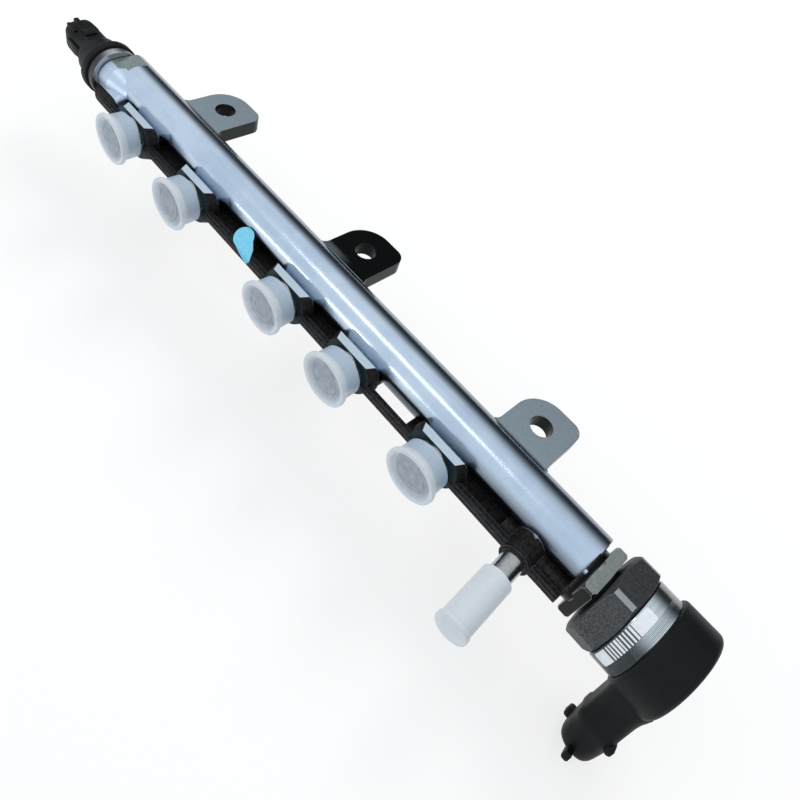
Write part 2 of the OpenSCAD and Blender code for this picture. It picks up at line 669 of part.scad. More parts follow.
module armature() color(steel) on_end(armature_x) difference() {
    cylinder(r = armature_r, h = armature_len);
    translate([0, 0, -1]) cylinder(r = pin_d / 2 - run_clear, h = pin_seat + 1);
    translate([0, 0, pin_seat + 0.5]) cylinder(r = spring_room_r, h = far);
    for (a = [0:90:270]) rotate([0, 0, a]) translate([4.4, 0, -1]) cylinder(r = 0.6, h = far);
}

module armature_spring() color(silver) on_end(spring_x)
    spring_solid(spring_mean_d / 2, spring_wire / 2, spring_end - spring_x, spring_turns);

// round wire swept along a helix whose end turns lie flat
module spring_solid(r, w, h, turns) {
    sides = 8;
    steps = 20;
    total = turns * steps;
    rise = h - 2 * w - 0.04;
    function lift(t) = w + 0.02 + rise * min(1, max(0, (t * turns - 0.8) / (turns - 1.6)));
    rings = [for (i = [0:total]) let (t = i / total, a = 360 * turns * t)
        for (k = [0:sides - 1]) let (b = 360 * k / sides)
            [(r + w * cos(b)) * cos(a), (r + w * cos(b)) * sin(a), lift(t) + w * sin(b)]];
    faces = concat(
        [[for (k = [0:sides - 1]) k]],
        [for (i = [0:total - 1], k = [0:sides - 1]) let (n = (k + 1) % sides)
            [i * sides + k, (i + 1) * sides + k, (i + 1) * sides + n, i * sides + n]],
        [[for (k = [sides - 1:-1:0]) total * sides + k]]);
    polyhedron(rings, faces);
}

module magnet_core() color(steel) on_end(core_x) difference() {
    cylinder(r = spigot_r - 0.1, h = lid_cavity_end - core_x - 0.1);
    translate([0, 0, -1]) cylinder(r = spring_room_r, h = spring_end - core_x + 1);
}

module flux_washer() color(steel) on_end(lid_cavity_end - washer_t - 0.1)
    tube(lid_in_r - 0.15, spigot_r - 0.05, washer_t);

module coil_bobbin() color([0.85, 0.85, 0.8]) on_end(coil_x) rotate_extrude() polygon([
    [spigot_r + 0.15, 0], [pot_in_r - 0.3, 0], [pot_in_r - 0.3, 1.4], [spigot_r + 1.5, 1.4],
    [spigot_r + 1.5, coil_end - coil_x - 1.4], [pot_in_r - 0.3, coil_end - coil_x - 1.4],
    [pot_in_r - 0.3, coil_end - coil_x], [spigot_r + 0.15, coil_end - coil_x]]);

module coil_winding() color([0.75, 0.42, 0.2]) on_end(coil_x + 1.42)
    tube(pot_in_r - 1, spigot_r + 1.52, coil_end - coil_x - 2.84);

module solenoid_pot() color(silver) on_end(pot_x) rotate_extrude() polygon([
    [spigot_r + 0.05, 0], [pot_r - 0.4, 0], [pot_r, 0.4], [pot_r, pot_len],
    [pot_in_r, pot_len], [pot_in_r, pot_base], [spigot_r + 0.05, pot_base]]);

module pot_label() color([0.92, 0.93, 0.93]) on_end(pot_x + (pot_len - label_w) / 2)
    intersection() {
        tube(pot_r + 0.02 + label_t, pot_r + 0.02, label_w);
        translate([0, 0, -1]) linear_extrude(label_w + 2) label_sector();
    }
// sector of the label, centred on the side that faces away from the engine
module label_sector() rotate(198) intersection() {
    circle(40);
    rotate(-label_wrap / 2) union() {
        square([50, 50]);
        rotate(label_wrap - 90) square([50, 50]);
        rotate(45) square([50, 50]);
    }
}

// Connector's frame: local z runs out of the cap, local x along the rail
plug_x = lid_x + 1.4 + plug_w / 2 + 0.8;
module plug_frame(r = 0) translate([plug_x, end_y, 0]) rotate([plug_a - 90, 0, 0])
    translate([0, 0, r]) children();

module solenoid_cap() color(black) difference() {
    union() {
        on_end(lid_x) rotate_extrude() union() {
            square([pot_r + 0.2, 3]);
            translate([0, 1.4]) square([lid_d / 2, lid_end - lid_x - 1.4 - lid_edge]);
            square([lid_d / 2 - lid_edge, lid_end - lid_x]);
            translate([lid_d / 2 - lid_edge, lid_end - lid_x - lid_edge]) circle(lid_edge);
        }
        plug_frame(12) linear_extrude(plug_reach - 12) rounded_box_2d(plug_w, plug_h, plug_corner);
        // collar and latch nubs at the connector's mouth
        plug_frame(plug_reach - 9) linear_extrude(4)
            rounded_box_2d(plug_w + 2, plug_h + 2, plug_corner + 1);
        for (s = [-1, 1]) plug_frame(plug_reach - 5.4)
            translate([-plug_w / 2 - 2.2, s * 6 - 2, 0]) cube([4, 4, 4]);
    }
    on_end(lid_x - 1) cylinder(r = lid_in_r, h = lid_cavity_end - lid_x + 1);
    plug_frame(plug_reach - socket_depth) linear_extrude(socket_depth + 1)
        rounded_box_2d(plug_w - 2 * socket_wall, plug_h - 2 * socket_wall, plug_corner - 1.6);
    for (s = [-1, 1]) valve_blade(s, 0.03);
}

module valve_blade(s, clear = 0) plug_frame(lid_in_r + 0.4)
    translate([-blade_t / 2 - clear, s * 3 - blade_w / 2 - clear, -clear])
    cube([blade_t + 2 * clear, blade_w + 2 * clear, plug_reach - 4 - lid_in_r + 2 * clear]);
module valve_terminal(s) color([0.8, 0.7, 0.4]) valve_blade(s);

rail_body();
port_cap(0);  // port_cap_1
port_cap(1);  // port_cap_2
port_cap(2);  // port_cap_3
port_cap(3);  // port_cap_4
port_cap(4);  // port_cap_5
throttle(0);  // throttle_1
throttle(1);  // throttle_2
throttle(2);  // throttle_3
throttle(3);  // throttle_4
throttle(4);  // throttle_5
return_pipe();
return_cap();
blue_tag();
sensor_body();
sensor_cell();
sensor_board();
sensor_connector();
sensor_terminal(-1);  // sensor_terminal_1
sensor_terminal(0);  // sensor_terminal_2
sensor_terminal(1);  // sensor_terminal_3
union_nut();
valve_seat();
valve_ball();
valve_pin();
valve_body();
nose_seal_ring();
backup_ring();
armature();
armature_spring();
magnet_core();
flux_washer();
coil_bobbin();
coil_winding();
solenoid_pot();
pot_label();
solenoid_cap();
valve_terminal(-1);  // valve_terminal_1
valve_terminal(1);  // valve_terminal_2
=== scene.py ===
"""Looks of a common rail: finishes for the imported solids, dressed pieces, light and camera."""
import json
import math

import bmesh
import bpy
from mathutils import Matrix, Vector


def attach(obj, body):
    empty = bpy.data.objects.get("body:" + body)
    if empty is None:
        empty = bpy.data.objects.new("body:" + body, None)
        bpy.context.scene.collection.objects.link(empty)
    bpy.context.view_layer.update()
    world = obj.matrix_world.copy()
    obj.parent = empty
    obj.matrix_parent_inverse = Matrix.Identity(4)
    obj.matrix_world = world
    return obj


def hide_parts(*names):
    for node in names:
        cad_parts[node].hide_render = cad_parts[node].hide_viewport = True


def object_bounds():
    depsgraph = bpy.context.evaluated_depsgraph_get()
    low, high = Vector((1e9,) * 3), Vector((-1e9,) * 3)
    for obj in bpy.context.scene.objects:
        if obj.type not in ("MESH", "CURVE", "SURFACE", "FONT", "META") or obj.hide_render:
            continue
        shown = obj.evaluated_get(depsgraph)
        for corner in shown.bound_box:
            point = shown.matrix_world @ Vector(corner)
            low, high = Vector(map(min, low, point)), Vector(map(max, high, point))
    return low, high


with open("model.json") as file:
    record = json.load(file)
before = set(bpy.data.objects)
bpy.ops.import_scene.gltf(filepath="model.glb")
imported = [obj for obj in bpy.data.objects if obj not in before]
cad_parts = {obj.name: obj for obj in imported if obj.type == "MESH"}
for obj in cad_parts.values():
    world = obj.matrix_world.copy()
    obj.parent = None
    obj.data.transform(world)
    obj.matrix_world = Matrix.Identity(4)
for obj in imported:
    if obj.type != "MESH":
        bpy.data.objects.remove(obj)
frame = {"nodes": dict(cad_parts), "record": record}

MM = 0.001
NODES = frame["nodes"]
size_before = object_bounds()

# Places on the rail, in millimetres, the same as in the solids; the rail lies along x
AXIS_Y = -20.8
END_Y = -26.05
TUBE_R = 10.5
TUBE_FRONT = 144.0
END_BOSS_R = 9.5
END_FLAT_X = -137.2
END_FLAT_Z = 9.15
LUG_X = (-100.0, 0.0, 100.0)
HOLE_R = 4.5
PORT_X = (-111.2, -66.2, -2.4, 36.4, 83.4)
PORT_Z = -2.4
BOSS_Y = -38.5
NOZZLE_R = 8.0
CAP_RIM_Y = -40.5
CAP_BORE_R = 8.15
SQUARE_X = (146.0, 150.6)
NUT_X = (152.0, 162.0)
NUT_FLAT_R = 16.0
POT_X = (162.2, 171.2)
POT_R = 16.4
LID_R = 18.0
ARM_X = 180.6
ARM_WAY = Vector((0.0, -0.5, -math.sqrt(3) / 2))

# Sizes of the dressed pieces themselves, in millimetres and radians
NUT_TURN = math.radians(52.6)
NUT_CORNER_R = 18.0
NUT_CHAMFER_R = 15.7
NUT_CHAMFER_SLOPE = 1.75
TOOL_RINGS_X = 167.5
TOOL_RING_PITCH = 0.42
TOOL_RING_DEPTH = 0.07
LABEL_X = (162.75, 167.35)
LABEL_WRAP = (math.radians(98.5), math.radians(189.0))
LABEL_GAP = 0.02
LABEL_THICK = 0.09
LABEL_CORNER = 0.8
LID_X = (171.3, 186.8)
LID_CAVITY_X = 186.4
LID_EDGE = 2.2
THREAD_PITCH = 1.5
THREAD_SPAN = (0.6, 8.9)

# Where the rail's skin changes from one finish to the next, in millimetres
TUBE_ROOT_R = 8.8
END_BOSS_X = -127.0
LUG_ROOT_Y = -14.1
MIDDLE_LUG_X = 18.0
FLAT_ROOT_Y = -30.9
FLAT_LOW_Z = 2.1
RELIEF_Y = (-35.4, -31.0)

# How shade lies across the tube: its middle line leans 35 degrees from z to the ports
SHADE_WAY = (0.819, 0.574)

# The bars of the label, in radians round the pot
BARS_WRAP = (2.19, 2.96)
BARS_PER_RADIAN = 12.8

# Camera, fitted to the rail's edges
CAMERA_PLACE = (0.12933, -0.16888, 0.21209)
CAMERA_RIGHT = Vector((0.665816, 0.697305, 0.265433))
CAMERA_DOWN = Vector((0.671137, -0.404297, -0.621385))
CAMERA_LENS = 32.219
CAMERA_SHIFT = (-0.0273, -0.1032)

# Floor and room
FLOOR_HALF = 6.0
FLOOR_GAP = 0.0005
FLOOR_GLOW = 0.70
WALL_TOP = (math.radians(18), math.radians(66))
WALL_STRENGTH = 0.05
ROOM_STRENGTH = 0.88


# Shader maths

class Val:
    """A shader value or colour that can be used in Python expressions."""

    def __init__(self, look, socket):
        self.look, self.socket = look, socket

    def math(self, operation, *others, clamp=False):
        settings = {"operation": operation, "use_clamp": clamp}
        return self.look.add("ShaderNodeMath", settings, [self, *others])

    def __add__(self, other):
        return self.math("ADD", other)

    def __sub__(self, other):
        return self.math("SUBTRACT", other)

    def __mul__(self, other):
        return self.math("MULTIPLY", other)

    def __pow__(self, other):
        return self.math("POWER", other)

    def __rsub__(self, other):
        return self.look.add("ShaderNodeMath", {"operation": "SUBTRACT"}, [other, self])

    __radd__, __rmul__ = __add__, __mul__

    def __abs__(self):
        return self.math("ABSOLUTE")

    def low(self, other):
        return self.math("MINIMUM", other)

    def high(self, other):
        return self.math("MAXIMUM", other)

    def clip(self):
        """The value kept between 0 and 1."""
        return self.math("ADD", 0.0, clamp=True)

    def rise(self, start, end):
        """0 before start, 1 after end, smooth between them; start may be the larger."""
        low, high, flip = (start, end, False) if start < end else (end, start, True)
        settings = {"interpolation_type": "SMOOTHSTEP"}
        step = self.look.add("ShaderNodeMapRange", settings, [self, low, high, 0.0, 1.0])
        return 1 - step if flip else step

    def band(self, low, high, soft):
        """1 between low and high, 0 outside."""
        return self.rise(low - soft, low + soft) * self.rise(high + soft, high - soft)


class Look:
    """The nodes of a material, or of the world, in the making."""

    def __init__(self, name, owner=None, output="ShaderNodeOutputMaterial"):
        self.owner = owner or bpy.data.materials.new(name)
        self.owner.use_nodes = True
        self.tree = self.owner.node_tree
        self.tree.nodes.clear()
        self.out = self.tree.nodes.new(output)

    def add(self, kind, settings=None, inputs=(), out=0):
        """A node of that kind, its settings set first, with values or links in its sockets."""
        node = self.tree.nodes.new(kind)
        for key, value in (settings or {}).items():
            setattr(node, key, value)
        pairs = inputs.items() if isinstance(inputs, dict) else enumerate(inputs)
        for key, value in pairs:
            if isinstance(value, Val):
                self.tree.links.new(value.socket, node.inputs[key])
            else:
                node.inputs[key].default_value = value
        return Val(self, node.outputs[out])

    def finish(self, shader):
        """Sends the shader to the output."""
        self.tree.links.new(shader.socket, self.out.inputs["Surface"])
        return self.owner

    def place(self):
        """The point's place in the rail's frame, in millimetres."""
        spot = self.add("ShaderNodeTexCoord", out="Object")
        settings = {"operation": "SCALE"}
        return self.add("ShaderNodeVectorMath", settings, {0: spot, "Scale": 1 / MM})

    def facing(self):
        """The x, y and z parts of the way that the surface faces."""
        return self.split(self.add("ShaderNodeTexCoord", out="Normal"))

    def split(self, vector):
        node = self.add("ShaderNodeSeparateXYZ", None, [vector]).socket.node
        return [Val(self, socket) for socket in node.outputs]

    def join(self, x, y, z):
        return self.add("ShaderNodeCombineXYZ", None, [x, y, z])

    def noise(self, vector, scale, detail, rough):
        return self.add("ShaderNodeTexNoise", None,
                        {"Vector": vector, "Scale": scale, "Detail": detail, "Roughness": rough})

    def mix(self, share, a, b):
        """Colours a and b mixed by share."""
        return self.add("ShaderNodeMix", {"data_type": "RGBA"}, {0: share, 6: a, 7: b}, out=2)

    def speckle(self, grain, dark, light, start=0.3, end=0.7):
        """The dark colour where the grain is low and the light one where it is high."""
        return self.mix(grain.rise(start, end), rgb(*dark), rgb(*light))

    def nearest(self, x, places):
        """How far x is from the nearest of the places."""
        gaps = [abs(x - place) for place in places]
        least = gaps[0]
        for gap in gaps[1:]:
            least = least.low(gap)
        return least

    def edges(self, width):
        """1 at edges of the shape that stand out or go in, over about that width in mm."""
        soft = self.add("ShaderNodeBevel", {"samples": 4}, {0: width * MM})
        hard = self.add("ShaderNodeNewGeometry", out="Normal")
        same = self.add("ShaderNodeVectorMath", {"operation": "DOT_PRODUCT"}, [soft, hard],
                        out="Value")
        return (1 - same).rise(0.004, 0.12)

    def bump(self, height, depth):
        """A normal from height, where 1 is depth in mm."""
        return self.add("ShaderNodeBump", None,
                        {"Strength": 1.0, "Distance": depth * MM, "Height": height})

    def surface(self, **sockets):
        named = {key.replace("_", " "): value for key, value in sockets.items()}
        return self.finish(self.add("ShaderNodeBsdfPrincipled", None, named))


def rgb(r, g, b):
    return (r, g, b, 1.0)


def distance(u, v):
    return (u * u + v * v) ** 0.5


# Finishes

def tube_colour(look, x, facing, from_port, clouds, streaks):
    """Turned steel with fine streaks, with painted shade down its sides and underneath in place of
    dark reflections.
    """
    steel = look.speckle(clouds, (0.50, 0.62, 0.77), (0.61, 0.73, 0.86), 0.35)
    steel = look.mix(streaks.rise(0.45, 0.75) * 0.2, steel, rgb(0.80, 0.88, 0.97))
    across = facing[1] * SHADE_WAY[0] + facing[2] * SHADE_WAY[1]
    # Painted shade: the sides, the underside and the end near the valve are darkened, standing in for
    # dark reflections
    port_side = across.rise(-0.45, -0.88) * (0.3 + from_port.rise(8.0, 14.0) * 0.7) * 0.9
    lug_side = across.rise(0.46, 0.80) * 0.62
    underneath = facing[2].rise(-0.15, -0.5) * 0.8
    both_sides = across.rise(-0.2, -0.72).high(across.rise(0.3, 0.8) * 0.7)
    near_valve = both_sides * x.rise(48.0, 112.0) * 0.85
    shade = port_side.high(lug_side).high(underneath).high(near_valve)
    return look.mix(shade, steel, rgb(0.035, 0.04, 0.05))


def lug_colour(look, x, y, facing, grain, edge, in_hole):
    """Plated lugs with dark edges, painted shade on their sides and in their holes; the middle one is
    almost black.
    """
    zinc = look.speckle(grain, (0.30, 0.37, 0.41), (0.38, 0.45, 0.50), 0.3, 0.75)
    zinc = look.mix(edge * 0.7, zinc, rgb(0.07, 0.085, 0.075))
    # Painted shade on the lugs' sides
    zinc = look.mix(facing[2].rise(0.5, 0.2), zinc, rgb(0.03, 0.036, 0.032))
    near_root = y.rise(-8.5, -11.0) * x.rise(4.0, -8.0)
    middle = x.band(-MIDDLE_LUG_X, MIDDLE_LUG_X, 1.0) * (0.995 - near_root * 0.35)
    zinc = look.mix(middle, zinc, rgb(0.004, 0.005, 0.0055))
    # Painted shade inside the holes
    return look.mix(in_hole, zinc, rgb(0.012, 0.013, 0.013))


def stub_colour(look, x, facing, grain, edge):
    """The wrench square's worn face, with painted shade on its necks and its port side."""
    stub = look.speckle(grain, (0.24, 0.27, 0.27), (0.34, 0.37, 0.36))
    low, high = SQUARE_X
    beside_square = x.rise(low + 0.1, low - 0.1).high(x.rise(high - 0.1, high + 0.1))
    # Painted shade on the necks and on the port side
    dark = facing[1].rise(-0.2, -0.6).high(beside_square)
    stub = look.mix(dark, stub, rgb(0.010, 0.011, 0.010))
    return look.mix(edge * 0.5, stub, rgb(0.5, 0.53, 0.53))


def rail_finish():
    """Bright turned tube, milled flats and lugs; dark forged skin between them."""
    look = Look("forged_rail")
    place = look.place()
    x, y, z = look.split(place)
    facing = look.facing()
    from_axis = distance(y - AXIS_Y, z)
    from_end_axis = distance(y - END_Y, z)
    from_port = look.nearest(x, PORT_X)
    off_port_axis = distance(from_port, z - PORT_Z)
    from_lug = distance(look.nearest(x, LUG_X), y)

    on_tube = from_axis.band(TUBE_ROOT_R, TUBE_R + 0.12, 0.06) * x.rise(TUBE_FRONT + 0.4, TUBE_FRONT)
    on_end_boss = from_end_axis.rise(END_BOSS_R + 0.25, END_BOSS_R + 0.15)
    on_end_boss = on_end_boss * x.rise(END_BOSS_X + 1, END_BOSS_X - 1)
    on_end_flat = z.band(END_FLAT_Z - 0.15, END_FLAT_Z + 0.1, 0.05)
    on_end_flat = on_end_flat * x.rise(END_FLAT_X + 0.2, END_FLAT_X) * facing[2].rise(0.9, 0.96)
    on_lug = y.rise(LUG_ROOT_Y - 0.1, LUG_ROOT_Y + 0.1) * z.rise(-0.3, -0.2)
    on_lug = on_lug * from_axis.rise(TUBE_R + 0.1, TUBE_R + 0.3)
    on_flat = facing[2].rise(0.80, 0.9) * z.rise(FLAT_LOW_Z - 0.1, FLAT_LOW_Z + 0.1)
    on_flat = on_flat * y.rise(FLAT_ROOT_Y + 0.3, FLAT_ROOT_Y - 0.3)
    on_face = y.rise(BOSS_Y + 0.3, BOSS_Y + 0.1) * y.rise(BOSS_Y - 0.3, BOSS_Y - 0.1)
    on_relief = facing[1].rise(0.4, 0.6) * y.band(*RELIEF_Y, 0.1) * z.rise(0.1, 0.4)
    on_nozzle = off_port_axis.rise(NOZZLE_R + 0.5, NOZZLE_R + 0.3)
    on_nozzle = on_nozzle * y.rise(BOSS_Y - 0.1, BOSS_Y - 0.3)
    on_stub = x.rise(TUBE_FRONT + 0.3, TUBE_FRONT + 0.6)
    in_hole = from_lug.rise(HOLE_R + 0.35, HOLE_R + 0.15) * facing[2].rise(0.6, 0.3)

    streaks = look.noise(look.join(x * 0.02, y * 1.6, z * 1.6), 1.0, 6.0, 0.6)
    rings = look.noise(look.join(x * 5.0, y * 0.05, z * 0.05), 1.0, 3.0, 0.6)
    brushed = look.noise(look.join(x * 0.4, y * 6.0, z * 6.0), 1.0, 4.0, 0.6)
    clouds = look.noise(place, 0.045, 5.0, 0.6)
    grain = look.noise(place, 0.9, 8.0, 0.7)
    pits = look.noise(place, 3.5, 6.0, 0.65)
    edge = look.edges(0.6)

    skin = look.speckle(grain, (0.014, 0.013, 0.013), (0.055, 0.050, 0.050), 0.35)
    skin = look.mix(edge * pits.rise(0.35, 0.6) * 0.6, skin, rgb(0.30, 0.30, 0.32))
    # The tube's colour carries painted shade down its sides and underneath
    turned = tube_colour(look, x, facing, from_port, clouds, streaks)
    layers = (
        (on_tube, turned),
        (on_end_boss, turned),
        (on_end_flat, look.speckle(grain, (0.25, 0.32, 0.30), (0.36, 0.42, 0.40))),
        (on_flat, look.speckle(brushed, (0.60, 0.74, 0.86), (0.74, 0.86, 0.94), 0.35)),
        (on_relief, rgb(0.62, 0.66, 0.70)),
        (on_face, look.speckle(grain, (0.02, 0.04, 0.045), (0.05, 0.08, 0.09))),
        (on_nozzle, look.speckle(grain, (0.30, 0.33, 0.36), (0.42, 0.45, 0.48))),
        (on_lug, lug_colour(look, x, y, facing, grain, edge, in_hole)),
        (on_stub, stub_colour(look, x, facing, grain, edge)))
    base = skin
    for mask, colour in layers:
        base = look.mix(mask, base, colour)

    bright = on_tube
    for mask in (on_flat, on_relief, on_lug, on_stub, on_end_boss, on_nozzle):
        bright = bright.high(mask)
    rough = 0.62 - bright * 0.32 + (grain - 0.5) * 0.12 - on_tube * 0.08
    rough = rough + on_end_boss * (1 - on_tube) * 0.12
    height = rings * on_tube * 0.012 + (1 - bright) * (grain * 0.6 + pits * 0.4)
    return look.surface(Base_Color=base, Metallic=1.0, Roughness=rough.clip(),
                        Normal=look.bump(height, 0.25))


def plain_steel(name, tint, rough, grain_scale=1.5, streak=(5.0, 0.05, 0.05), port_side_shade=0.0):
    """Machined steel with faint tool marks, which run round the x axis unless streak differs, with
    painted shade on the faces towards the ports where asked for.
    """
    look = Look(name)
    place = look.place()
    x, y, z = look.split(place)
    marks = look.noise(look.join(x * streak[0], y * streak[1], z * streak[2]), 1.0, 4.0, 0.6)
    grain = look.noise(place, grain_scale, 5.0, 0.6)
    base = look.speckle(grain, (c * 0.7 for c in tint), tint, 0.3, 0.75)
    base = look.mix(look.edges(0.3) * 0.35, base, rgb(*(min(1, c * 1.35) for c in tint)))
    # Painted shade on the faces that turn towards the ports
    if port_side_shade:
        base = look.mix(look.facing()[1].rise(0.05, -0.6) * port_side_shade, base, rgb(0.02, 0.02, 0.022))
    return look.surface(Base_Color=base, Metallic=1.0,
                        Roughness=(rough + (grain - 0.5) * 0.2).clip(),
                        Normal=look.bump(marks + grain * 0.4, 0.015))


def moulded(name, tint, rough, grain_depth=0.02, sheen=0.3, gloss=0.5):
    """Moulded plastic or rubber with a fine grain."""
    look = Look(name)
    place = look.place()
    grain = look.noise(place, 4.0, 4.0, 0.6)
    clouds = look.noise(place, 0.12, 3.0, 0.5)
    base = look.speckle(clouds, tint, (c * 1.5 for c in tint))
    base = look.mix(look.edges(0.35) * 0.3, base, rgb(*(c * 2.6 + 0.01 for c in tint)))
    return look.surface(Base_Color=base, Roughness=(rough + (grain - 0.5) * 0.18).clip(),
                        Coat_Weight=sheen * 0.3, Coat_Roughness=0.35, Specular_IOR_Level=gloss,
                        Normal=look.bump(grain, grain_depth))


def pot_finish():
    """Bright fine-turned steel, with painted shade on the port side and on the lugs' side in place of
    dark reflections.
    """
    look = Look("pot_steel")
    place = look.place()
    x, y, z = look.split(place)
    marks = look.noise(look.join(x * 6.0, y * 0.05, z * 0.05), 1.0, 4.0, 0.6)
    grain = look.noise(place, 1.5, 5.0, 0.6)
    across = look.facing()[1]
    # Painted shade, by which way the surface faces
    dark = across.rise(-0.45, -0.75).high(across.rise(0.05, 0.45) * 0.7)
    base = look.speckle(marks, (0.46, 0.53, 0.57), (0.70, 0.78, 0.82))
    base = look.mix(dark * 0.93, base, rgb(0.02, 0.023, 0.026))
    return look.surface(Base_Color=base, Metallic=1.0, Roughness=(0.16 + grain * 0.1).clip(),
                        Normal=look.bump(marks, 0.015))


def milky_finish():
    """Soft translucent cap plastic, cloudy, with what it covers just showing."""
    look = Look("milky_cap")
    place = look.place()
    x, y, z = look.split(place)
    clouds = look.noise(place, 0.35, 4.0, 0.6)
    grain = look.noise(place, 2.5, 3.0, 0.5)
    from_port = distance(look.nearest(x, PORT_X), z - PORT_Z)
    lip = from_port.rise(8.8, 9.8) * y.rise(-45.8, -47.2)
    skirt = from_port.rise(8.4, 9.0) * (1 - lip)
    base = look.speckle(clouds, (0.40, 0.46, 0.52), (0.52, 0.58, 0.64))
    base = look.mix(skirt, base, rgb(0.50, 0.62, 0.74))
    base = look.mix(lip, base, rgb(0.68, 0.74, 0.79))
    veil = 0.56 + (clouds - 0.5) * 0.12 + lip * 0.24 + skirt * 0.1
    return look.surface(Base_Color=base, Roughness=(0.3 + grain * 0.15).clip(), Alpha=veil,
                        Normal=look.bump(grain, 0.03))


def blue_film():
    """Satin film, a little darker along its lower edge."""
    look = Look("blue_label")
    place = look.place()
    low_edge = look.split(place)[2].rise(-1.6, -2.4)
    grain = look.noise(place, 0.8, 3.0, 0.5)
    base = look.speckle(grain, (0.17, 0.58, 0.80), (0.22, 0.66, 0.86))
    base = look.mix(low_edge * 0.5, base, rgb(0.10, 0.42, 0.62))
    return look.surface(Base_Color=base, Roughness=(0.38 + grain * 0.1).clip(),
                        Normal=look.bump(grain, 0.02))


def bar_label():
    """White film with plain bars of several widths across its middle."""
    look = Look("white_label")
    place = look.place()
    x, y, z = look.split(place)
    around = look.add("ShaderNodeMath", {"operation": "ARCTAN2"}, [z, y - END_Y])
    steps = around * BARS_PER_RADIAN
    width = look.add("ShaderNodeTexWhiteNoise", {"noise_dimensions": "1D"},
                     {"W": steps.math("FLOOR")}, out="Value") * 0.5 + 0.25
    bars = (width - steps.math("FRACT")).rise(0.0, 0.04) * around.band(*BARS_WRAP, 0.004)
    grain = look.noise(place, 0.7, 3.0, 0.5)
    base = look.speckle(grain, (0.72, 0.77, 0.80), (0.79, 0.84, 0.86))
    base = look.mix(bars * 0.94, base, rgb(0.02, 0.02, 0.025))
    return look.surface(Base_Color=base, Roughness=(0.4 + grain * 0.15).clip(),
                        Normal=look.bump(grain, 0.01))


def nut_finish():
    """Dark sparkling phosphate grain, lighter along edges and where the corners are turned; the
    corners are turned all round, but only the upper ones are lightened, a painted highlight.
    """
    look = Look("nut_steel")
    place = look.place()
    x, y, z = look.split(place)
    grain = look.noise(place, 1.6, 8.0, 0.7)
    specks = look.noise(place, 5.0, 3.0, 0.6)
    turned = distance(y - END_Y, z).rise(NUT_CORNER_R - 0.12, NUT_CORNER_R - 0.04)
    # Painted highlight: only the upper turned corners are lightened
    turned = turned * z.rise(2.0, 12.0)
    base = look.speckle(grain, (0.04, 0.045, 0.048), (0.13, 0.135, 0.14))
    base = look.mix(specks.rise(0.58, 0.68) * 0.5, base, rgb(0.34, 0.35, 0.36))
    base = look.mix(look.edges(0.5) * specks.rise(0.3, 0.6) * 0.4, base, rgb(0.30, 0.31, 0.32))
    base = look.mix(turned, base, rgb(0.34, 0.37, 0.38))
    rough = 0.5 + grain * 0.2 - turned * 0.2
    return look.surface(Base_Color=base, Metallic=1.0, Roughness=rough.clip(),
                        Normal=look.bump((grain * 0.5 + specks * 0.5) * (1 - turned), 0.16))


def copper_finish():
    """Enamelled wire, whose turns show as fine ridges."""
    look = Look("copper_wire")
    place = look.place()
    grain = look.noise(place, 2.0, 3.0, 0.5)
    turns = (look.split(place)[0] * 14.0).math("SINE")
    base = look.speckle(grain, (0.52, 0.20, 0.08), (0.66, 0.30, 0.13))
    return look.surface(Base_Color=base, Metallic=1.0, Roughness=(0.25 + grain * 0.15).clip(),
                        Normal=look.bump(turns, 0.08))


FINISHES = {
    "forged_rail": rail_finish(),
    "milky_cap": milky_finish(),
    "hardened_steel": plain_steel("hardened_steel", (0.52, 0.54, 0.56), 0.22),
    "pipe_steel": plain_steel("pipe_steel", (0.58, 0.60, 0.60), 0.2, streak=(5.0, 0.05, 5.0)),
    "blue_label": blue_film(),
    # The sensor's steel has painted shade on its port side
    "sensor_steel": plain_steel("sensor_steel", (0.66, 0.67, 0.70), 0.32, 2.5, port_side_shade=0.9),
    "circuit_board": moulded("circuit_board", (0.03, 0.16, 0.07), 0.35),
    "black_plastic": moulded("black_plastic", (0.0035, 0.0042, 0.0048), 0.48, 0.02, 0.0, 0.16),
    "terminal_brass": plain_steel("terminal_brass", (0.80, 0.62, 0.28), 0.25),
    "nut_steel": nut_finish(),
    "valve_steel": plain_steel("valve_steel", (0.55, 0.56, 0.58), 0.25),
    "black_rubber": moulded("black_rubber", (0.014, 0.014, 0.014), 0.6, 0.04, 0.0),
    "white_ptfe": moulded("white_ptfe", (0.55, 0.54, 0.50), 0.45),
    "soft_iron": plain_steel("soft_iron", (0.42, 0.42, 0.43), 0.35),
    "spring_steel": plain_steel("spring_steel", (0.5, 0.5, 0.51), 0.25),
    "white_nylon": moulded("white_nylon", (0.5, 0.49, 0.44), 0.4),
    "copper_wire": copper_finish(),
    "pot_steel": pot_finish(),
    "white_label": bar_label(),
}


def dress_nodes():
    """Every solid gets its slot's finish."""
    for part in frame["record"]["subparts"]:
        node = NODES[part["node"]]
        node.data.materials.clear()
        node.data.materials.append(FINISHES[part["material_slot"]])


# Mesh tools, in millimetres

class Axis:
    """A place with a direction along which a piece is turned or lofted."""

    def __init__(self, origin, along, right):
        self.origin, self.along = Vector(origin), Vector(along).normalized()
        self.right = Vector(right).normalized()
        self.up = self.along.cross(self.right)

    def at(self, along, right=0.0, up=0.0):
        return self.origin + self.along * along + self.right * right + self.up * up

    def ring(self, along, radius, steps=96):
        turns = (math.tau * step / steps for step in range(steps))
        return [self.at(along, radius * math.cos(t), radius * math.sin(t)) for t in turns]


END_AXIS = Axis((0, END_Y, 0), (1, 0, 0), (0, 1, 0))


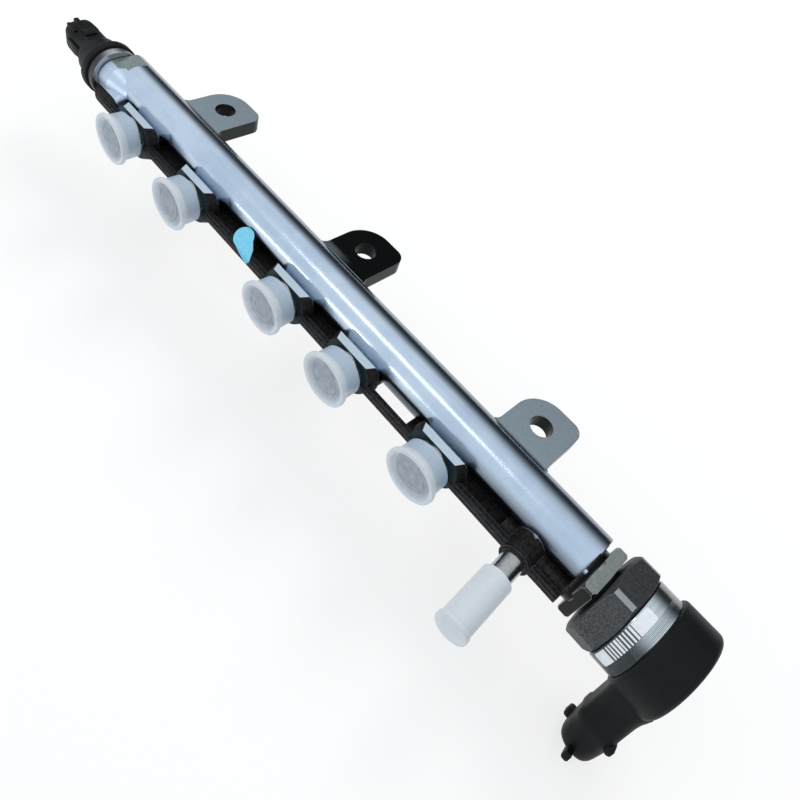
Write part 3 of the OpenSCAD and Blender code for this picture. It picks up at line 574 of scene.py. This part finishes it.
def skin_rings(shape, rings, covered=True):
    """Faces from ring to ring; the two end rings are covered, or else joined to each other."""
    rows = [[shape.verts.new(point) for point in ring] for ring in rings]
    pairs = list(zip(rows, rows[1:]))
    if not covered:
        pairs.append((rows[-1], rows[0]))
    for low, high in pairs:
        for i in range(len(low)):
            j = (i + 1) % len(low)
            shape.faces.new((low[i], low[j], high[j], high[i]))
    if covered:
        for row in (rows[0], rows[-1]):
            middle = shape.verts.new(sum((v.co for v in row), Vector()) / len(row))
            for i in range(len(row)):
                shape.faces.new((row[i], row[(i + 1) % len(row)], middle))


def turn(shape, axis, profile, covered=True, steps=96):
    """A turned form from (place along the axis, radius) points."""
    skin_rings(shape, [axis.ring(along, radius, steps) for along, radius in profile], covered)


def rounded(axis, along, half_right, half_up, corner, middle=(0.0, 0.0), steps=7):
    """The points of a rounded rectangle across the axis."""
    points = []
    for quarter, (right, up) in enumerate(((1, 1), (-1, 1), (-1, -1), (1, -1))):
        for step in range(steps + 1):
            t = math.pi / 2 * (quarter + step / steps)
            points.append(axis.at(along,
                                  middle[0] + right * (half_right - corner) + corner * math.cos(t),
                                  middle[1] + up * (half_up - corner) + corner * math.sin(t)))
    return points


def block(shape, axis, low, high, corner):
    """A small moulded block; low and high are (along, right, up)."""
    half_right, half_up = (high[1] - low[1]) / 2, (high[2] - low[2]) / 2
    middle = ((high[1] + low[1]) / 2, (high[2] + low[2]) / 2)
    rings = [rounded(axis, along, half_right - inset, half_up - inset, corner, middle, 3)
             for along, inset in ((low[0], corner * 0.6), (low[0] + corner, 0),
                                  (high[0] - corner, 0), (high[0], corner * 0.6))]
    skin_rings(shape, rings)


def add_piece(name, shape, slot, replaces=(), sharp=32):
    """Puts a finished shape on the rail as a piece with its finish."""
    bmesh.ops.recalc_face_normals(shape, faces=shape.faces)
    bmesh.ops.scale(shape, vec=(MM, MM, MM), verts=shape.verts)
    mesh = bpy.data.meshes.new(name)
    shape.to_mesh(mesh)
    shape.free()
    mesh.shade_smooth()
    mesh.set_sharp_from_angle(angle=math.radians(sharp))
    mesh.materials.append(FINISHES[slot])
    piece = bpy.data.objects.new(name, mesh)
    bpy.context.scene.collection.objects.link(piece)
    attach(piece, "rail")
    if replaces:
        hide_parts(*replaces)


# Pieces

# (place from the rim, radius): the outside first, then the dished end with its raised rings
CAP_PROFILE = (
    (0.5, CAP_BORE_R), (0.0, 8.6), (0.0, 9.5), (0.3, 9.8), (2.6, 9.88), (5.6, 9.95), (6.5, 10.1),
    (7.1, 10.45), (7.5, 10.95), (8.0, 11.22), (8.7, 11.25), (9.25, 11.15), (9.55, 10.85),
    (9.6, 10.4), (9.5, 9.9), (9.2, 9.45), (8.85, 9.1), (8.7, 8.6), (8.68, 6.7), (8.95, 6.5),
    (8.95, 6.1), (8.68, 5.9), (8.66, 4.1), (8.88, 3.9), (8.88, 3.5), (8.66, 3.3), (8.62, 1.7),
    (8.4, 1.2), (8.36, 0.3))
CAP_INSIDE = ((7.95, 0.3), (7.95, 7.7), (7.75, CAP_BORE_R))


def port_cap(index, port_x):
    """Push-on dust cap: skirt, rolled lip, and a dished end with raised rings."""
    axis = Axis((port_x, CAP_RIM_Y, PORT_Z), (0, -1, 0), (1, 0, 0))
    shape = bmesh.new()
    turn(shape, axis, CAP_INSIDE + CAP_PROFILE)
    add_piece(f"cap_of_port_{index}", shape, "milky_cap", (f"port_cap_{index}",))


def port_thread(index, port_x):
    """The nozzle's thread, a ridge that winds round it and runs out at both ends."""
    axis = Axis((port_x, BOSS_Y, PORT_Z), (0, -1, 0), (1, 0, 0))
    steps = 48
    run_out = steps / 2
    count = int((THREAD_SPAN[1] - THREAD_SPAN[0]) / THREAD_PITCH * steps)
    rings = []
    for step in range(count + 1):
        angle = math.tau * step / steps
        rise = min(1.0, step / run_out, (count - step) / run_out)
        ring = []
        for offset, height in ((-0.7, -0.15), (-0.66, 0.0), (-0.1, 0.13), (0.1, 0.13),
                               (0.66, 0.0), (0.7, -0.15)):
            radius = NOZZLE_R + (height * rise if height > 0 else height)
            ring.append(axis.at(THREAD_SPAN[0] + step / steps * THREAD_PITCH + offset,
                                radius * math.cos(angle), radius * math.sin(angle)))
        rings.append(ring)
    shape = bmesh.new()
    skin_rings(shape, rings)
    add_piece(f"thread_of_port_{index}", shape, "pipe_steel")


def nut_radius(angle, along):
    """Hexagon, with its corners turned down and both ends chamfered."""
    sector = (angle - NUT_TURN + math.pi / 6) % (math.pi / 3) - math.pi / 6
    flat = NUT_FLAT_R / math.cos(math.pi / 6 - abs(sector))
    chamfer = NUT_CHAMFER_R + NUT_CHAMFER_SLOPE * min(along - NUT_X[0], NUT_X[1] - along)
    return min(flat, NUT_CORNER_R, chamfer)


def union_nut():
    """Chamfered hexagon with a stepped bore, and more rings near its ends."""
    steps = 360
    length = NUT_X[1] - NUT_X[0]
    places = [0.0, 0.15, 0.3, 0.45, 0.6, 0.75, 0.9, 1.05, 1.2, 1.4, 1.8]
    places = places + [length / 2] + [length - place for place in reversed(places)]
    rings = []
    for place in places:
        along = NUT_X[0] + place
        rings.append([END_AXIS.at(along, nut_radius(t, along) * math.cos(t),
                                  nut_radius(t, along) * math.sin(t))
                      for t in (math.tau * step / steps for step in range(steps))])
    for along, radius in ((NUT_X[1], 12.6), (NUT_X[1] - 0.5, 12.2), (NUT_X[1] - 0.5, 8.7),
                          (NUT_X[1] - 1.3, 8.6), (NUT_X[1] - 1.3, 10.06), (NUT_X[0] + 0.6, 10.06),
                          (NUT_X[0], 10.7)):
        rings.append(END_AXIS.ring(along, radius, steps))
    shape = bmesh.new()
    skin_rings(shape, rings, covered=False)
    add_piece("valve_union_nut", shape, "nut_steel", ("union_nut",), 20)


def solenoid_pot():
    """Turned steel can with fine tool rings beside the lid."""
    low, high = POT_X
    bore_r, base, wall = 7.05, 2.0, 1.2
    profile = [(low, bore_r), (low, POT_R - 0.4), (low + 0.1, POT_R - 0.1), (low + 0.4, POT_R)]
    place = TOOL_RINGS_X
    while place < high - 0.5:
        profile += [(place, POT_R), (place + 0.12, POT_R - TOOL_RING_DEPTH), (place + 0.24, POT_R)]
        place += TOOL_RING_PITCH
    profile += [(high, POT_R), (high, POT_R - wall), (low + base, POT_R - wall), (low + base, bore_r)]
    shape = bmesh.new()
    turn(shape, END_AXIS, profile, covered=False, steps=128)
    add_piece("turned_pot", shape, "pot_steel", ("solenoid_pot",), 20)


def label_layer(shape, radius, rows, steps):
    """A curved sheet of points round the pot, narrower at its ends, where the corners are round."""
    low, high = LABEL_X
    start, stop = LABEL_WRAP
    length = (stop - start) * POT_R
    grid = []
    for step in range(steps + 1):
        s = length * step / steps
        near = max(0.0, min(s, length - s, LABEL_CORNER))
        inset = LABEL_CORNER - math.sqrt(LABEL_CORNER ** 2 - (LABEL_CORNER - near) ** 2)
        angle = start + s / POT_R
        right, up = radius * math.cos(angle), radius * math.sin(angle)
        places = (low + inset + (high - low - 2 * inset) * row / rows for row in range(rows + 1))
        grid.append([shape.verts.new(END_AXIS.at(place, right, up)) for place in places])
    return grid


def pot_label():
    """Film round part of the pot, its corners rounded."""
    rows, steps = 6, 120
    shape = bmesh.new()
    inner = label_layer(shape, POT_R + LABEL_GAP, rows, steps)
    outer = label_layer(shape, POT_R + LABEL_GAP + LABEL_THICK, rows, steps)
    for a, b in zip(range(steps), range(1, steps + 1)):
        for row in range(rows):
            shape.faces.new((outer[a][row], outer[b][row], outer[b][row + 1], outer[a][row + 1]))
            shape.faces.new((inner[a][row], inner[a][row + 1], inner[b][row + 1], inner[b][row]))
        for row in (0, rows):
            shape.faces.new((inner[a][row], inner[b][row], outer[b][row], outer[a][row]))
    for column in (0, steps):
        for row in range(rows):
            shape.faces.new((inner[column][row], inner[column][row + 1],
                             outer[column][row + 1], outer[column][row]))
    add_piece("bar_label_film", shape, "white_label", ("pot_label",), 40)


# (along the arm, half width, half height, corner): its root, neck, collar, mouth and socket
ARM_SECTIONS = (
    (15.0, 8.3, 8.4, 4.0), (17.0, 7.9, 8.1, 3.9), (19.0, 7.4, 7.8, 3.8), (22.0, 7.15, 7.55, 3.8),
    (30.5, 7.1, 7.5, 3.8), (31.2, 7.45, 7.9, 4.0), (33.6, 7.5, 7.95, 4.2), (34.4, 7.1, 7.6, 4.4),
    (38.0, 7.0, 7.6, 5.2), (41.5, 6.8, 7.6, 6.0), (43.6, 6.5, 7.4, 6.2), (44.6, 6.0, 7.0, 5.8),
    (44.9, 5.5, 6.5, 5.2), (44.6, 5.3, 6.2, 5.0), (43.6, 5.2, 6.0, 4.8), (31.5, 5.1, 5.8, 3.6))


def solenoid_cap():
    """Moulded lid over the coil, with the plug's arm on its side."""
    low, high = LID_X
    rim = [(high - LID_EDGE + LID_EDGE * math.sin(t), LID_R - LID_EDGE + LID_EDGE * math.cos(t))
           for t in (math.pi / 2 * step / 8 for step in range(9))]
    shape = bmesh.new()
    turn(shape, END_AXIS, [(LID_CAVITY_X, 0.4), (LID_CAVITY_X, 15.1), (low, 15.2), (low, 17.2),
                           (low + 0.2, 17.6), (low + 0.6, 17.9), (low + 1.2, LID_R)] + rim
         + [(high, 12.6), (high - 0.2, 12.4), (high - 0.2, 11.7), (high, 11.5), (high, 0.4)],
         steps=144)
    arm = Axis((ARM_X, END_Y, 0), ARM_WAY, (1, 0, 0))
    skin_rings(shape, [rounded(arm, *section) for section in ARM_SECTIONS])
    block(shape, arm, (39.8, -8.4, -6.6), (43.8, -5.2, -2.8), 0.7)
    block(shape, arm, (42.4, -2.2, 6.0), (45.6, 0.5, 11.4), 0.6)
    block(shape, arm, (31.0, 5.0, 3.0), (34.6, 7.9, 8.2), 0.8)
    add_piece("solenoid_lid", shape, "black_plastic", ("solenoid_cap",), 38)


# (x, radius) of the sensor's collar: its outside from the plug's root to the ring, then its inside
COLLAR_PROFILE = (
    (-168.4, 7.3), (-164.9, 8.7), (-164.5, 9.2), (-163.7, 9.7), (-157.4, 9.7), (-156.7, 10.2),
    (-156.2, 11.6), (-156.0, 12.2), (-155.5, 12.8), (-154.9, 13.0), (-152.1, 13.0),
    (-151.6, 12.85), (-151.35, 12.4), (-151.35, 0.5), (-157.6, 0.5), (-157.6, 7.3))

# (along -x, half width, half height, corner): root, body, mouth and socket of the sensor's plug
PLUG_SECTIONS = (
    (163.6, 8.0, 8.2, 5.4), (165.5, 7.2, 7.6, 4.6), (167.0, 6.75, 7.2, 4.0), (175.4, 6.7, 7.2, 4.0),
    (175.9, 6.95, 7.5, 4.3), (181.0, 6.8, 7.5, 4.6), (182.0, 6.6, 7.3, 4.5), (182.4, 6.2, 6.8, 4.2),
    (182.2, 5.6, 6.2, 3.8), (181.4, 5.3, 5.9, 3.6), (168.5, 5.2, 5.8, 3.2))
PLUG_SHIFT = (-0.45, 0.3)


def sensor_connector():
    """The sensor's moulded body: collar, shoulder, and the plug's socket with its latch."""
    shape = bmesh.new()
    turn(shape, END_AXIS, COLLAR_PROFILE, steps=120)
    plug = Axis((0, END_Y, 0), (-1, 0, 0), (0, -1, 0))
    skin_rings(shape, [rounded(plug, *section, PLUG_SHIFT) for section in PLUG_SECTIONS])
    add_latch(shape, plug)
    add_piece("sensor_plug_body", shape, "black_plastic", ("sensor_connector",), 38)


def add_latch(shape, plug):
    """The latch nub on top of the plug, a rib at its mouth, and two ribs along its sides."""
    for low, high in (((169.6, -3.4, 6.8), (174.6, 2.6, 8.5)),
                      ((178.0, -1.2, 6.4), (184.0, 1.2, 8.3)),
                      ((174.5, 3.6, 6.6), (181.6, 5.6, 8.2)),
                      ((167.5, 5.9, -2.5), (178.5, 7.5, 2.5))):
        block(shape, plug, low, high, 0.6)


def make_pieces():
    for index, port_x in enumerate(PORT_X, 1):
        port_cap(index, port_x)
        port_thread(index, port_x)
    union_nut()
    solenoid_pot()
    pot_label()
    solenoid_cap()
    sensor_connector()


# Camera, floor and light

def make_camera():
    data = bpy.data.cameras.new("camera")
    data.sensor_width, data.lens = 36.0, CAMERA_LENS
    data.shift_x, data.shift_y = CAMERA_SHIFT
    data.clip_start, data.clip_end = 0.01, 20.0
    camera = bpy.data.objects.new("camera", data)
    bpy.context.scene.collection.objects.link(camera)
    up = -CAMERA_DOWN
    back = CAMERA_RIGHT.cross(up)
    turned = Matrix((CAMERA_RIGHT, up, back)).transposed()
    camera.matrix_world = Matrix.Translation(CAMERA_PLACE) @ turned.to_4x4()
    bpy.context.scene.camera = camera


def make_floor():
    """A wide pale floor, brighter to the camera and in reflections, that keeps the shadow."""
    mesh = bpy.data.meshes.new("floor")
    half, level = FLOOR_HALF, size_before[0].z - FLOOR_GAP
    corners = [(-half, -half, level), (half, -half, level), (half, half, level), (-half, half, level)]
    mesh.from_pydata(corners, [], [(0, 1, 2, 3)])
    floor = bpy.data.objects.new("floor", mesh)
    bpy.context.scene.collection.objects.link(floor)
    look = Look("floor")
    seen = look.add("ShaderNodeLightPath", out="Is Camera Ray")
    for ray in ("Is Glossy Ray", "Is Transmission Ray"):
        seen = seen.high(look.add("ShaderNodeLightPath", out=ray))
    matt = look.add("ShaderNodeBsdfDiffuse", None, [rgb(0.94, 0.94, 0.94)])
    glow = look.add("ShaderNodeEmission", None, [rgb(1, 1, 1), 1.0])
    mixed = look.add("ShaderNodeMixShader", None, [seen * FLOOR_GLOW, matt, glow])
    mesh.materials.append(look.finish(mixed))


def make_world():
    """A bright room with a dark wall low down on the lugs' side; the camera sees it white."""
    look = Look("room", bpy.data.worlds.new("room"), "ShaderNodeOutputWorld")
    x, y, z = look.split(look.add("ShaderNodeTexCoord", out="Generated"))
    height = look.add("ShaderNodeMath", {"operation": "ARCTAN2"}, [z, y])
    bright = look.add("ShaderNodeMapRange", {"interpolation_type": "SMOOTHSTEP"},
                      [height, *WALL_TOP, WALL_STRENGTH, ROOM_STRENGTH])
    strength = look.add("ShaderNodeLightPath", out="Is Camera Ray").high(bright)
    glow = look.add("ShaderNodeBackground", None, [rgb(0.93, 0.96, 1.0), strength])
    bpy.context.scene.world = look.finish(glow)


def soft_light(name, place, aim, wide, high, power):
    """A rectangular lamp at place that shines at aim."""
    data = bpy.data.lights.new(name, "AREA")
    data.shape, data.size, data.size_y = "RECTANGLE", wide, high
    data.energy = power
    light = bpy.data.objects.new(name, data)
    light.location = place
    light.rotation_mode = "QUATERNION"
    light.rotation_quaternion = (Vector(aim) - Vector(place)).to_track_quat("-Z", "Y")
    light.visible_camera = False
    bpy.context.scene.collection.objects.link(light)
    return light


def strip_light(name, angle, reach, x_range, wide, power):
    """A thin lamp along the rail, whose reflection is a fine line on the tube."""
    angle = math.radians(angle)
    centre = Vector((0, AXIS_Y * MM, 0))
    place = centre + Vector((0, math.cos(angle), math.sin(angle))) * reach
    place.x = sum(x_range) / 2
    aim = Vector((place.x, centre.y, 0))
    light = soft_light(name, place, aim, x_range[1] - x_range[0], wide, power)
    along, back = Vector((1, 0, 0)), (place - aim).normalized()
    turned = Matrix((along, back.cross(along), back)).transposed()
    light.rotation_quaternion = turned.to_quaternion()


def make_lights():
    key = soft_light("key", (-0.25, 0.95, 0.95), (0, -0.02, 0), 0.6, 0.6, 9.0)
    key.visible_glossy = False
    strip_light("line_low", 174, 0.8, (-0.58, -0.17), 0.030, 0.50)
    strip_light("line_high", 115, 0.8, (-0.42, -0.01), 0.028, 0.30)


dress_nodes()
make_pieces()
make_camera()
make_floor()
make_world()
make_lights()

scene = bpy.context.scene
scene.view_settings.view_transform = "Standard"
